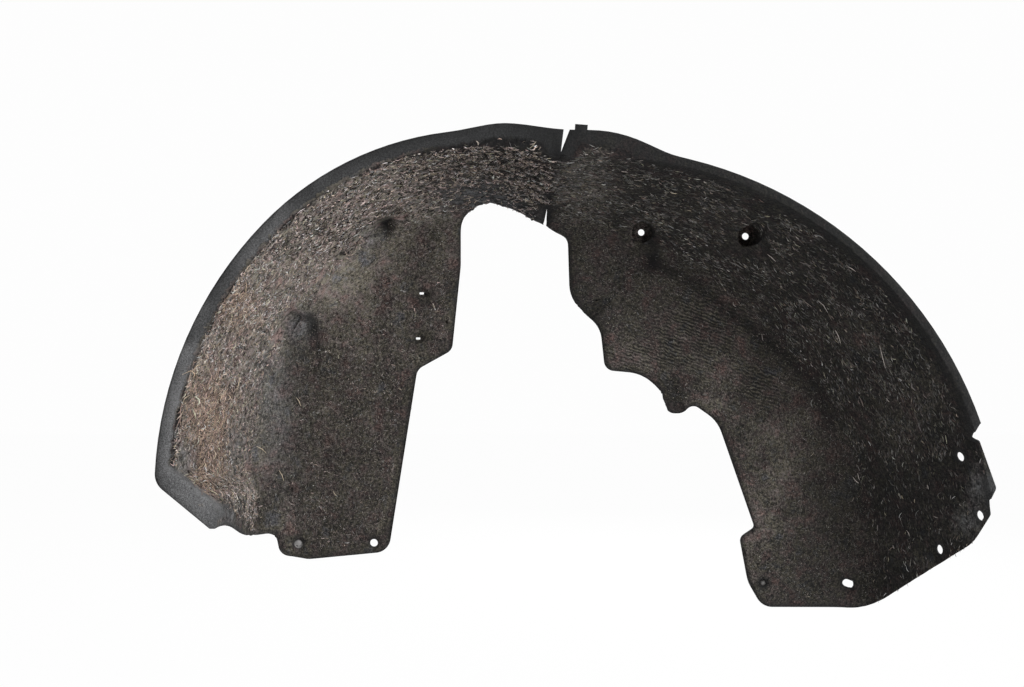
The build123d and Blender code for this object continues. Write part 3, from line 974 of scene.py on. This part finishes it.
class LINER_OT_felt_shell(Operator):
    """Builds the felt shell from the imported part, with lofty felt, pressed rims and dust"""

    bl_idname = "arch_liner.felt_shell"
    bl_label = "Felt Shell"

    def execute(self, context):
        settings = context.scene.arch_liner.felt
        shell = bmesh.new()
        shell.from_mesh(LINER.data)
        bmesh.ops.remove_doubles(shell, verts=shell.verts[:], dist=settings.merge)
        kind = label_surfaces(shell)
        refine(shell, settings.edge, kind)
        refine_finely(shell, settings.fine_edge, needs_fine_mesh)
        shell.verts.ensure_lookup_table()
        rims = self.find_rims(shell, kind)
        self.soften(shell, kind)
        self.round_corners(shell)
        self.press_and_loft(shell, kind, rims, settings)
        for face in shell.faces:
            face.smooth = True
        mesh = bpy.data.meshes.new("felt_shell")
        shell.to_mesh(mesh)
        shell.free()
        mesh = self.lighten(mesh, settings)
        self.paint(mesh, rims, settings)
        mesh.materials.append(felt_material(settings))
        piece = finish_piece(bpy.data.objects.new("felt_shell", mesh))
        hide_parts("arch_liner")
        return {"FINISHED"}

    def find_rims(self, shell, kind):
        """Marks the sharp edges and gathers those along the cut outline and the plain holes."""
        middles = np.array([(edge.verts[0].co + edge.verts[1].co) / 2 for edge in shell.edges])
        recess = in_recess(middles)
        rims = kdtree.KDTree(3 * len(shell.edges))
        for index, edge in enumerate(shell.edges):
            edge.smooth = edge.calc_face_angle(0) < SHARP_ANGLE or bool(recess[index])
            cut = [face[kind] == CUT_EDGE for face in edge.link_faces]
            if any(cut) and not all(cut):
                rims.insert(middles[index], index)
                rims.insert(edge.verts[0].co, index)
                rims.insert(edge.verts[1].co, index)
        rims.balance()
        return rims

    def soften(self, shell, kind):
        """Rounds the mouths of the seats and dishes, as pressed felt is."""
        points = np.array([vertex.co for vertex in shell.verts])
        kinds = [{face[kind] for face in vertex.link_faces} for vertex in shell.verts]
        skin = np.array([not here & {OUTER_SKIN, CUT_EDGE} for here in kinds])
        self.smooth_out(shell, near_any(points, SEATS, SEAT_REACH - 0.004) & skin, SEAT_SMOOTHINGS)
        self.smooth_out(shell, near_any(points, DISHES, SEAT_REACH - 0.006) & skin, DISH_SMOOTHINGS)

    def round_corners(self, shell):
        """Turns the corners of the sill foot's outline into curves."""
        points = np.array([vertex.co for vertex in shell.verts])
        columns, rows = seen(points)
        per_pixel = (points[:, 1] - CAMERA_PLACE[1]) * SENSOR / LENS / PHOTO_SIZE[0]
        for corner in FOOT_CORNERS:
            away = np.hypot(columns - corner.column, rows - corner.row)
            for index in np.flatnonzero(away < corner.reach):
                move = (1 - away[index] / corner.reach) ** 2 * per_pixel[index]
                shell.verts[index].co.x += corner.shift[0] * move
                shell.verts[index].co.z -= corner.shift[1] * move

    def smooth_out(self, shell, chosen, times):
        """Moves the chosen vertices towards their neighbours, several times."""
        soft = [vertex for vertex, here in zip(shell.verts, chosen) if here]
        for _ in range(times):
            bmesh.ops.smooth_vert(
                shell, verts=soft, factor=0.5, use_axis_x=True, use_axis_y=True, use_axis_z=True
            )

    def press_and_loft(self, shell, kind, rims, settings):
        """Lifts the felt in soft lumps and needle rows on the wheel side, and presses in its edges."""
        points = np.array([vertex.co for vertex in shell.verts])
        columns, rows = seen(points)
        ripples = np.clip(patches_at(RIPPLE_PATCHES, columns, rows), 0, 1)
        moves = []
        for vertex, ripple in zip(shell.verts, ripples):
            skin = [face for face in vertex.link_faces if face[kind] == WHEEL_SKIN]
            if not skin:
                continue
            normal = sum((face.normal * face.calc_area() for face in skin), Vector()).normalized()
            away = rims.find(vertex.co)[2]
            inside = min(away / (2 * settings.rim), 1)
            lump = 0.5 + 0.5 * noise.fractal(vertex.co * LUMPS_PER_METRE, 0.8, 2.1, 3)
            slow, quick = (noise.noise(vertex.co * scale) for scale in ROW_WANDER_PER_METRE)
            wander = 0.9 * slow + 0.3 * quick
            height = vertex.co.z + ROW_DROP * vertex.co.x
            row = math.sin(2 * math.pi * (height / settings.ripple_pitch + wander))
            broken = 0.5 + 0.5 * noise.noise(vertex.co * ROW_BREAKS_PER_METRE + Vector((9, 0, 0)))
            rise = (settings.lump * lump + settings.ripple * ripple * row * broken) * inside**2
            rise -= settings.press * (1 - min(away / settings.rim, 1)) ** 2
            moves.append((vertex, normal * rise))
        for vertex, move in moves:
            vertex.co += move

    def lighten(self, mesh, settings):
        """Takes triangles out where the felt is nearly flat, down to the wanted number."""
        draft = bpy.data.objects.new("felt_draft", mesh)
        bpy.context.scene.collection.objects.link(draft)
        fewer = draft.modifiers.new("fewer", "DECIMATE")
        fewer.ratio = min(1.0, settings.triangles / len(mesh.polygons))
        ready = draft.evaluated_get(bpy.context.evaluated_depsgraph_get())
        lighter = bpy.data.meshes.new_from_object(ready)
        bpy.data.objects.remove(draft)
        lighter.name = "felt_shell"
        return lighter

    def paint(self, mesh, rims, settings):
        """Stores the felt's dust with some painted light, rims, lip, painted shade in pits and creases, and
        ripples at its vertices.
        """
        points = mesh_array(mesh.vertices, "co", 3)
        normals = mesh_array(mesh.vertices, "normal", 3)
        kinds = np.empty(len(mesh.polygons), np.int32)
        mesh.attributes["kind"].data.foreach_get("value", kinds)
        corners = np.empty(len(mesh.loops), np.int32)
        mesh.loops.foreach_get("vertex_index", corners)
        per_corner = np.repeat(kinds, [polygon.loop_total for polygon in mesh.polygons])
        wheel_side = np.zeros(len(points), bool)
        wheel_side[corners[(per_corner == WHEEL_SKIN) | (per_corner == LIP_FACE)]] = True
        away = np.array([rims.find(point)[2] for point in points])
        for name, values in felt_values(points, normals, wheel_side).items():
            put_attribute(mesh, name, values)
        put_attribute(mesh, "rim", np.clip(1 - away / settings.rim, 0, 1) * ~in_recess(points))
        put_attribute(mesh, "inland", away)


def fibre_paths(skin, faces, places, lengths, spread_angle, lift, bend, points, random):
    """Curved paths that lie on the skin, heading round the wheel within a spread."""
    count = len(places)
    normals = skin.normal[faces]
    out = places - np.array([WHEEL_AXIS[0], 0, WHEEL_AXIS[1]])
    onward = np.column_stack([-out[:, 2], np.zeros(count), out[:, 0]])
    onward -= (onward * normals).sum(1)[:, None] * normals
    onward /= np.linalg.norm(onward, axis=1)[:, None]
    side = np.cross(normals, onward)
    angle = random.normal(0, 1, count) * spread_angle
    heading = np.cos(angle)[:, None] * onward + np.sin(angle)[:, None] * side
    sideways = np.cross(normals, heading)
    bow = random.normal(0, bend, count) * lengths
    arch = np.abs(random.normal(0, 1, count)) * lift
    tilt = random.normal(0, 0.6, count) * lift
    paths = np.empty((count, points, 3))
    for index, share in enumerate(np.linspace(-0.5, 0.5, points)):
        curve = 1 - 4 * share * share
        paths[:, index] = (
            places
            + heading * (lengths * share)[:, None]
            + sideways * (bow * curve)[:, None]
            + normals * (0.0002 + np.maximum(arch * curve + tilt * share, -0.0002))[:, None]
        )
    return paths


def fibre_profile():
    """Three-sided section of a fibre, 1 metre in radius, that a curve is bevelled with."""
    curve = bpy.data.curves.new("fibre_profile", "CURVE")
    spline = curve.splines.new("POLY")
    spline.points.add(2)
    for point, turn in zip(spline.points, (0, 120, 240)):
        point.co = (math.cos(math.radians(turn)), math.sin(math.radians(turn)), 0, 1)
    spline.use_cyclic_u = True
    profile = bpy.data.objects.new("fibre_profile", curve)
    bpy.context.scene.collection.objects.link(profile)
    return profile


def fibre_piece(name, paths, radii, colours, material):
    """One piece of many closed fibres, each with its own colour."""
    profile = fibre_profile()
    curve = bpy.data.curves.new(name, "CURVE")
    curve.dimensions = "3D"
    curve.bevel_mode = "OBJECT"
    curve.bevel_object = profile
    curve.use_fill_caps = True
    points = paths.shape[1]
    thin = np.where(np.isin(np.arange(points), (0, points - 1)), 0.45, 1.0)
    padded = np.concatenate([paths, np.ones((len(paths), points, 1))], axis=2).astype(np.float32)
    for path, radius in zip(padded, radii):
        spline = curve.splines.new("POLY")
        spline.points.add(points - 1)
        spline.points.foreach_set("co", path.ravel())
        spline.points.foreach_set("radius", (thin * radius).astype(np.float32))
    holder = bpy.data.objects.new(name, curve)
    bpy.context.scene.collection.objects.link(holder)
    ready = holder.evaluated_get(bpy.context.evaluated_depsgraph_get())
    mesh = bpy.data.meshes.new_from_object(ready)
    bpy.data.objects.remove(holder)
    bpy.data.objects.remove(profile)
    mesh.name = name
    each = len(mesh.vertices) // len(paths)
    layer = mesh.attributes.new("fibre_colour", "FLOAT_COLOR", "POINT")
    shown = np.repeat(np.column_stack([colours, np.ones(len(colours))]), each, axis=0)
    layer.data.foreach_set("color", shown.astype(np.float32).ravel())
    mesh.materials.clear()
    mesh.materials.append(material)
    return finish_piece(bpy.data.objects.new(name, mesh))


def blend_colours(tones, count, random):
    """Picks a colour for each fibre from tones and their chances, with a little change in brightness."""
    choices = np.array([colour for colour, _ in tones])
    picked = choices[random.choice(len(tones), count, p=[chance for _, chance in tones])]
    return np.clip(picked * np.exp(random.normal(-0.1, 0.5, count))[:, None], 0, 0.7)


# Sizes of hay, lint and laid threads, in metres
HAY_LENGTH, HAY_RADIUS = 0.0085, 0.00028
LINT_LENGTH, LINT_RADIUS = 0.006, 0.00024
LAID_STRAW_RADIUS, LAID_THREAD_RADIUS = 0.00055, 0.0004
LAID_HEIGHT = 0.0008

# How closely tufts, banks of thrown dust and tints follow each other
TUFTS_PER_METRE = 95
BANKS_PER_METRE = 42
TINTS_PER_METRE = 40

# Fibre colours
PINK_GREY = (0.36, 0.303, 0.287)
TAN = (0.385, 0.318, 0.265)
PALE = (0.62, 0.56, 0.52)
MID_GREY = (0.13, 0.126, 0.122)
BLUE_GREY = (0.05, 0.0505, 0.053)
BLACK = (0.012, 0.0115, 0.012)
BROWN = (0.075, 0.06, 0.052)
STRAW = (0.46, 0.36, 0.26)
HAY = (0.36, 0.272, 0.212)
PINK_HAY = (0.36, 0.258, 0.22)
PALE_STRAW = (0.62, 0.52, 0.39)
PINK_BLUSH = (0.24, -0.02, -0.04)
OLIVE_LOSS = (0.05, 0.0, 0.18)
COOL_GREY = (0.30, 0.305, 0.31)
WARM_GREY = (0.225, 0.22, 0.212)
OLIVE = (0.28, 0.265, 0.2)

# Mixes of fibre colours, each with its chance
SILL_TONES = [(PINK_GREY, 0.36), (TAN, 0.2), (COOL_GREY, 0.14), (OLIVE, 0.1), (PALE, 0.06), (BROWN, 0.14)]
BUMPER_TONES = [(WARM_GREY, 0.42), (OLIVE, 0.25), (PALE, 0.08), (TAN, 0.1), (MID_GREY, 0.15)]
HAY_TONES = [(HAY, 0.3), (PINK_HAY, 0.34), (STRAW, 0.12), (PALE_STRAW, 0.04), (BROWN, 0.2)]
LINT_TONES = [(PALE, 0.3), (MID_GREY, 0.5), (PALE_STRAW, 0.2)]
CLEAN_TONES = [(BLACK, 0.38), (BLUE_GREY, 0.36), (BROWN, 0.1), (MID_GREY, 0.16)]


def dusty_fibre_colours(tones, dust, painted_shade, random):
    """Fibre colours that follow the felt's dust, from charcoal where it is clean to pink-grey and tan,
    darkened by painted shade.
    """
    count = len(dust)
    dusty = blend_colours(tones, count, random)
    clean = blend_colours(CLEAN_TONES, count, random)
    reach = np.clip(dust * (1.25 + random.normal(0, 0.5, count)), 0, 1) * (1 - painted_shade)
    return (clean + (dusty - clean) * reach[:, None]) * (1 - 0.7 * painted_shade)[:, None]


class Nap(NamedTuple):
    """One group of loose fibres: where it grows, how many, and the size and lie of each."""

    name: str
    weights: np.ndarray
    count: int
    length: float
    radius: float
    spread_angle: float
    lift: float
    bend: float
    points: int
    tones: list


class LINER_OT_nap(Operator):
    """Scatters the felt's loose curled fibres over its skins"""

    bl_idname = "arch_liner.nap"
    bl_label = "Felt Nap"

    def execute(self, context):
        settings = context.scene.arch_liner.fibres
        skin = Skin(bpy.data.objects["felt_shell"].data)
        material = fibre_material("felt_fibre", 0.9, 0.03)
        away = skin.at_faces("inland")
        fold = self.near_fold(skin)
        # Painted shade on the fibres: in pits and creases, on the lip face, and on the crown by the fold,
        # which the lamp reaches least
        shade = np.maximum.reduce([skin.at_faces("painted_shade"), 0.85 * (skin.kind == LIP_FACE), 0.9 * fold])
        for seed, nap in enumerate(self.groups(skin, away, settings), 11):
            random = np.random.default_rng(seed)
            faces, places = skin.scatter(nap.weights, nap.count, random)
            lengths = np.minimum(nap.length * np.exp(random.normal(0, 0.4, nap.count)), 0.7 * away[faces])
            paths = fibre_paths(
                skin, faces, places, lengths, nap.spread_angle, nap.lift, nap.bend, nap.points, random
            )
            colours = dusty_fibre_colours(nap.tones, skin.at_faces("dust")[faces], shade[faces], random)
            # Painted shade: fibres by the fold darkened further
            colours *= 1 - 0.5 * fold[faces, None]
            blush = np.array([noise.noise(Vector(place) * TINTS_PER_METRE) for place in places])
            colours *= 1 + np.maximum(blush, 0)[:, None] * np.array(PINK_BLUSH)
            colours *= 1 - np.maximum(-blush, 0)[:, None] * np.array(OLIVE_LOSS)
            radii = nap.radius * np.exp(random.normal(0, 0.3, nap.count))
            fibre_piece(nap.name, paths, radii, colours, material)
        return {"FINISHED"}

    def near_fold(self, skin):
        """1 on the crown just before the fold, which the lamp reaches least."""
        from_fold = sill_side(skin.columns, skin.rows)
        return smooth_step(130, 25, from_fold) * (from_fold > 0) * skin.at_faces("loft")

    def groups(self, skin, away, settings):
        """The groups of fibres, thick on the crowns and fine on the walls."""
        near_lip = skin.middle[:, 1] < LIP_Y + LIP_DEEP[1]
        felted = ~near_lip | (away > LIP_BAND[1] - 0.0005)
        inland = smooth_step(0.007, 0.015, away)
        wheel = ((skin.kind == WHEEL_SKIN) + 0.35 * (skin.kind == LIP_FACE)) * felted * inland
        wheel *= (1 - 0.7 * skin.at_faces("painted_shade")) * (1 - 0.85 * skin.at_faces("grey"))
        wheel *= 1 - smooth_step(0.25, 0.5, skin.at_faces("bald"))
        wall = 1 - smooth_step(0.2, 0.7, skin.at_faces("loft"))
        from_fold = sill_side(skin.columns, skin.rows)
        sill = from_fold > 0
        high = skin.rows < 255
        tufts = np.array([noise.noise(Vector(middle) * TUFTS_PER_METRE) for middle in skin.middle])
        tufted = smooth_step(-0.35, 0.45, tufts) + 0.15
        crown = (1 - wall) * wheel * tufted
        banks = np.array([noise.noise(Vector(middle) * BANKS_PER_METRE) for middle in skin.middle])
        thrown = crown * (1 - 0.7 * smooth_step(425, 480, skin.rows))
        thrown *= 0.35 + smooth_step(-0.25, 0.45, banks) + 1.5 * smooth_step(75, 15, -from_fold)
        calm = (1 - 0.8 * skin.at_faces("ripple")) * wall * wheel
        thick = settings.radius
        thin = 0.8 * settings.radius
        half = settings.sill_crown // 2
        bumper = ~sill
        few, many, most = settings.bumper_crown, settings.bumper_wall, settings.sill_wall
        outer = (skin.kind == OUTER_SKIN) * inland
        return [
            Nap("nap_sill_low", crown * sill * ~high, half, 0.0040, thick, 1.5, 0.0010, 0.3, 3, SILL_TONES),
            Nap("nap_sill_high", crown * sill * high, half, 0.0042, thick, 0.9, 0.0008, 0.2, 3, SILL_TONES),
            Nap("nap_sill_wall", calm * sill, most, 0.0017, thin, 1.5, 0.0002, 0.3, 2, SILL_TONES),
            Nap("nap_bumper", thrown * bumper, few, 0.0040, thick, 0.45, 0.0003, 0.1, 3, BUMPER_TONES),
            Nap("nap_bumper_wall", calm * bumper, many, 0.0015, thin, 1.0, 0.0002, 0.3, 2, BUMPER_TONES),
            Nap("nap_outside", outer, settings.outside, 0.0045, thin, 1.5, 0.0005, 0.3, 2, BUMPER_TONES),
        ]


class LINER_OT_hay(Operator):
    """Lays hay straws in the banks that the wheel has thrown against the crown"""

    bl_idname = "arch_liner.hay"
    bl_label = "Hay"

    def execute(self, context):
        settings = context.scene.arch_liner.fibres
        skin = Skin(bpy.data.objects["felt_shell"].data)
        random = np.random.default_rng(5)
        wheel = (skin.kind == WHEEL_SKIN) * smooth_step(0.005, 0.012, skin.at_faces("inland"))
        bare = 1 - np.maximum.reduce([skin.at_faces(name) for name in ("painted_shade", "grey", "bald")])
        weights = wheel * bare**2 * skin.at_faces("hay") ** 1.5
        count = settings.straws
        faces, places = skin.scatter(weights, count, random)
        lengths = HAY_LENGTH * np.exp(random.normal(0, 0.4, count))
        paths = fibre_paths(skin, faces, places, lengths, 1.6, 0.0014, 0.15, 4, random)
        colours = blend_colours(HAY_TONES, count, random)
        radii = HAY_RADIUS * np.exp(random.normal(0, 0.3, count))
        fibre_piece("hay", paths, radii, colours, fibre_material("dry_hay", 0.7, 0.0))
        return {"FINISHED"}


class LINER_OT_lint(Operator):
    """Lays pale threads on the felt: a scatter, and those that the photograph shows one by one"""

    bl_idname = "arch_liner.lint"
    bl_label = "Lint"

    def execute(self, context):
        settings = context.scene.arch_liner.fibres
        shell = bpy.data.objects["felt_shell"]
        skin = Skin(shell.data)
        random = np.random.default_rng(8)
        wheel = (skin.kind == WHEEL_SKIN) * smooth_step(0.012, 0.02, skin.at_faces("inland"))
        weights = wheel * (0.05 + 0.95 * skin.at_faces("loft")) * (skin.middle[:, 1] > LIP_Y + 0.025)
        count = settings.lint
        faces, places = skin.scatter(weights, count, random)
        lengths = LINT_LENGTH * np.exp(random.normal(0, 0.3, count))
        paths = fibre_paths(skin, faces, places, lengths, 0.8, 0.0008, 0.08, 4, random)
        colours = blend_colours(LINT_TONES, count, random)
        radii = LINT_RADIUS * np.exp(random.normal(0, 0.25, count))
        material = fibre_material("pale_lint", 0.8, 0.05)
        fibre_piece("lint", paths, radii, colours, material)
        self.lay("laid_straws", shell, LAID_STRAWS, LAID_STRAW_RADIUS, PALE_STRAW, material)
        self.lay("laid_threads", shell, LAID_THREADS, LAID_THREAD_RADIUS, PALE, material)
        return {"FINISHED"}

    def lay(self, name, shell, lines, radius, colour, material):
        """Threads laid on the felt where the photograph's columns and rows meet it."""
        tree = bvhtree.BVHTree.FromObject(shell, bpy.context.evaluated_depsgraph_get())
        eye = Vector(CAMERA_PLACE)
        focal = LENS / SENSOR * PHOTO_SIZE[0]
        paths = []
        for line in lines:
            path = []
            for column, row in line:
                right = (column - PHOTO_SIZE[0] / 2) / focal
                up = (PHOTO_SIZE[1] / 2 - row) / focal
                ray = Vector((right, 1, up))
                place, normal, *_ = tree.ray_cast(eye, ray.normalized())
                path.append(place + normal * LAID_HEIGHT)
            paths.append(path)
        colours = np.array([colour] * len(lines))
        fibre_piece(name, np.array(paths), np.full(len(lines), radius), colours, material)


# Where the lamps stand and point, and how wide they are, in metres
LAMP_AIM = (0.2, -0.08, 0.2)
KEY_PLACE, KEY_WIDTH = (1.6, -1.8, 0.75), 1.2
FILL_PLACE, FILL_WIDTH = (-1.2, -1.8, 0.6), 1.6
REAR_PLACE, REAR_WIDTH = (0.6, 2.0, 1.1), 1.4


def add_lamp(name, place, aim, size, power):
    """A soft square lamp that points at a place."""
    lamp = bpy.data.lights.new(name, "AREA")
    lamp.energy = power
    lamp.size = size
    holder = bpy.data.objects.new(name, lamp)
    holder.location = place
    holder.rotation_euler = (Vector(aim) - Vector(place)).to_track_quat("-Z", "Y").to_euler()
    bpy.context.scene.collection.objects.link(holder)
    return holder


def shown_rays(tree):
    """1 for rays that show the background: from the camera, or by way of gloss or glass."""
    path = add_node(tree, "ShaderNodeLightPath")
    either = math_node(tree, "MAXIMUM", path.outputs["Is Camera Ray"], path.outputs["Is Glossy Ray"])
    return math_node(tree, "MAXIMUM", either, path.outputs["Is Transmission Ray"])


class LINER_OT_stage(Operator):
    """Sets up the pale floor, the white surroundings, soft light and the camera of the photograph"""

    bl_idname = "arch_liner.stage"
    bl_label = "Stage"

    def execute(self, context):
        settings = context.scene.arch_liner.stage
        scene = context.scene
        self.white_world(scene, settings)
        self.pale_floor(scene, settings)
        add_lamp("key", KEY_PLACE, LAMP_AIM, KEY_WIDTH, settings.key)
        add_lamp("fill", FILL_PLACE, LAMP_AIM, FILL_WIDTH, settings.fill)
        add_lamp("rear", REAR_PLACE, LAMP_AIM, REAR_WIDTH, settings.rear)
        camera = bpy.data.cameras.new("camera")
        camera.lens = LENS
        camera.sensor_width = SENSOR
        holder = bpy.data.objects.new("camera", camera)
        holder.location = CAMERA_PLACE
        holder.rotation_euler = (math.pi / 2, 0, 0)
        scene.collection.objects.link(holder)
        scene.camera = holder
        scene.view_settings.view_transform = "Standard"
        return {"FINISHED"}

    def white_world(self, scene, settings):
        """White where it is seen, and soft light from all round."""
        world = bpy.data.worlds.new("white_room")
        world.use_nodes = True
        scene.world = world
        tree = world.node_tree
        seen_white = tree.nodes["Background"]
        seen_white.inputs["Color"].default_value = (1, 1, 1, 1)
        seen_white.inputs["Strength"].default_value = 0.985
        soft = add_node(tree, "ShaderNodeBackground")
        soft.inputs["Color"].default_value = (1, 1, 1, 1)
        soft.inputs["Strength"].default_value = settings.ambient
        mix = add_node(tree, "ShaderNodeMixShader")
        tree.links.new(shown_rays(tree), mix.inputs["Fac"])
        tree.links.new(soft.outputs[0], mix.inputs[1])
        tree.links.new(seen_white.outputs[0], mix.inputs[2])
        tree.links.new(mix.outputs[0], tree.nodes["World Output"].inputs["Surface"])

    def pale_floor(self, scene, settings):
        """A wide white floor below the liner, which is seen nearly white and keeps a faint shadow."""
        floor = bmesh.new()
        bmesh.ops.create_grid(floor, x_segments=1, y_segments=1, size=6.0)
        bmesh.ops.translate(floor, vec=(0.2, 0, CAD_BOX[0].z - settings.drop), verts=floor.verts[:])
        mesh = bpy.data.meshes.new("floor")
        floor.to_mesh(mesh)
        floor.free()
        material, tree, shader = shaded_material("pale_floor")
        shader.inputs["Base Color"].default_value = (0.8, 0.8, 0.8, 1)
        shader.inputs["Roughness"].default_value = 1.0
        glow = add_node(tree, "ShaderNodeEmission")
        glow.inputs["Color"].default_value = (1, 1, 1, 1)
        glow.inputs["Strength"].default_value = 1.0
        mix = add_node(tree, "ShaderNodeMixShader")
        share = math_node(tree, "MULTIPLY", shown_rays(tree), 0.97)
        tree.links.new(share, mix.inputs["Fac"])
        tree.links.new(shader.outputs[0], mix.inputs[1])
        tree.links.new(glow.outputs[0], mix.inputs[2])
        tree.links.new(mix.outputs[0], tree.nodes["Material Output"].inputs["Surface"])
        mesh.materials.append(material)
        holder = bpy.data.objects.new("floor", mesh)
        scene.collection.objects.link(holder)


class LINER_PT_panel(Panel):
    """Lists the liner's pieces and settings"""

    bl_idname = "LINER_PT_panel"
    bl_label = "Wheel Arch Liner"
    bl_space_type = "VIEW_3D"
    bl_region_type = "UI"
    bl_category = "Arch Liner"

    def draw(self, context):
        for operator in OPERATORS:
            self.layout.operator(operator.bl_idname)
        settings = context.scene.arch_liner
        for group in (settings.felt, settings.fibres, settings.stage):
            box = self.layout.box()
            for field in group.__annotations__:
                box.prop(group, field)


OPERATORS = (LINER_OT_felt_shell, LINER_OT_nap, LINER_OT_hay, LINER_OT_lint, LINER_OT_stage)
CLASSES = (FeltSettings, FibreSettings, StageSettings, LinerSettings, *OPERATORS, LINER_PT_panel)


def register():
    for cls in CLASSES:
        bpy.utils.register_class(cls)
    bpy.types.Scene.arch_liner = PointerProperty(type=LinerSettings)


def unregister():
    del bpy.types.Scene.arch_liner
    for cls in reversed(CLASSES):
        bpy.utils.unregister_class(cls)


def main():
    """Builds every piece in order."""
    register()
    bpy.ops.arch_liner.felt_shell()
    bpy.ops.arch_liner.nap()
    bpy.ops.arch_liner.hay()
    bpy.ops.arch_liner.lint()
    bpy.ops.arch_liner.stage()


if __name__ == "__main__":
    main()
